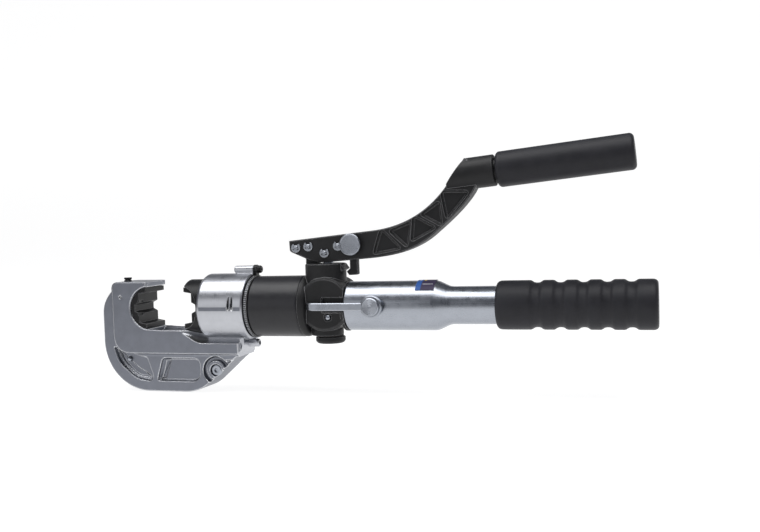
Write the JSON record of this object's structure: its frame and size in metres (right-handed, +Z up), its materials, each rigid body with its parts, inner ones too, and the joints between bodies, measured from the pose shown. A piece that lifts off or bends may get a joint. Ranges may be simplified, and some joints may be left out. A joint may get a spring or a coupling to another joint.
{
  "type": "hydraulic crimping tool",
  "caption": "Hand-pumped hydraulic crimping tool: swivelling C-shaped head with U-dies, black cylinder, pump lever with latch, and a tube handle with a rubber grip.",
  "frame": {"origin": "centre of the flat rear end of the main handle, on the tool's axis", "axes": "+X along the tool's axis and out of the rear end, +Z up with the lever on top, -Y the side with the release lever"},
  "size_m": [0.552, 0.0664, 0.2363],
  "materials": {
    "head_steel": "satin forged and machined steel",
    "black_oxide": "black oxide on steel",
    "bright_steel": "brushed and turned steel",
    "spring_steel": "drawn spring wire",
    "seal_rubber": "matt sealing rubber",
    "cylinder_black": "satin black coating",
    "cast_black": "fine cast texture under black paint",
    "brass": "turned brass",
    "tube_aluminium": "polished, finely brushed along the tube",
    "spec_label": "gloss printed film without lettering",
    "grip_rubber": "matt moulded rubber"
  },
  "bodies": {
    "pump": {"cylinder": "cylinder_black", "rod_wiper": "seal_rubber", "pump_body": "cast_black", "plunger_gland": "black_oxide", "bottom_plug": "cast_black", "plug_seal": "seal_rubber", "ball_plug": "bright_steel", "spring_anchor": "bright_steel", "suction_ball": "bright_steel", "suction_spring": "spring_steel", "delivery_ball": "bright_steel", "delivery_spring": "spring_steel", "delivery_plug": "brass", "relief_ball": "bright_steel", "relief_spring": "spring_steel", "relief_screw": "brass", "handle_tube": "tube_aluminium", "spec_label": "spec_label", "reservoir_bladder": "seal_rubber", "handle_plug": "brass", "main_grip": "grip_rubber", "return_spring": "spring_steel", "release_spring": "spring_steel"},
    "head": {"c_head": "head_steel", "web_screw": "bright_steel", "web_pin": "bright_steel", "button_cross_pin": "spring_steel", "button_spring": "spring_steel", "fixed_die": "black_oxide", "swivel_ring": "black_oxide", "ring_screw": "black_oxide", "lug_screw": "black_oxide"},
    "die_button": {"die_button": "black_oxide"},
    "die_lock": {"die_lock_pin": "bright_steel"},
    "ram": {"ram": "black_oxide", "moving_die": "black_oxide", "piston_seal": "seal_rubber"},
    "lever": {"lever_arm": "cast_black", "lever_tube": "bright_steel", "lever_grip": "grip_rubber", "stop_pin": "bright_steel", "stop_pin_clip": "bright_steel", "pivot_pin": "bright_steel", "pivot_pin_clip": "bright_steel", "plunger_pin": "bright_steel", "plunger_pin_clip": "bright_steel", "spring_pin": "bright_steel", "spring_pin_clip": "bright_steel", "latch_spring": "spring_steel"},
    "plunger": {"plunger": "bright_steel", "plunger_seal": "seal_rubber"},
    "latch": {"latch_hook": "cast_black", "latch_knob": "bright_steel"},
    "release": {"release_lever": "bright_steel", "release_screw": "bright_steel", "release_needle": "bright_steel"}
  },
  "joints": [
    {"name": "head_swivel", "type": "hinge", "parent": "pump", "child": "head", "pos_m": [-0.4, 0, 0], "axis": [1, 0, 0], "continuous": true},
    {"name": "ram_advance", "type": "slide", "parent": "head", "child": "ram", "axis": [-1, 0, 0], "range_m": [0, 0.041], "stiffness_N_per_m": 500, "deforming": ["return_spring"]},
    {"name": "die_button_press", "type": "slide", "parent": "head", "child": "die_button", "axis": [0, 0, -1], "range_m": [0, 0.0025], "stiffness_N_per_m": 300, "deforming": ["button_spring"]},
    {"name": "die_lock_slide", "type": "slide", "parent": "head", "child": "die_lock", "axis": [-1, 0, 0], "range_m": [0, 0.002]},
    {"name": "lever_swing", "type": "hinge", "parent": "pump", "child": "lever", "pos_m": [-0.325, 0, 0.0585], "axis": [0, -1, 0], "range_deg": [0, 48]},
    {"name": "plunger_stroke", "type": "slide", "parent": "pump", "child": "plunger", "axis": [0, 0, 1], "range_m": [0, 0.0146]},
    {"name": "latch_swing", "type": "hinge", "parent": "lever", "child": "latch", "pos_m": [-0.2808, 0, 0.0595], "axis": [0, 1, 0], "range_deg": [-12, 0], "stiffness_Nm_per_rad": 0.2, "deforming": ["latch_spring"]},
    {"name": "release_turn", "type": "hinge", "parent": "pump", "child": "release", "pos_m": [-0.257, -0.0282, 0.0014], "axis": [0, -1, 0], "range_deg": [0, 25], "stiffness_Nm_per_rad": 0.5, "deforming": ["release_spring"]}
  ],
  "couplings": [
    {"joint": "die_lock_slide", "follows": "die_button_press", "ratio": 0.8},
    {"joint": "plunger_stroke", "follows": "lever_swing", "m_per_rad": 0.0172}
  ]
}
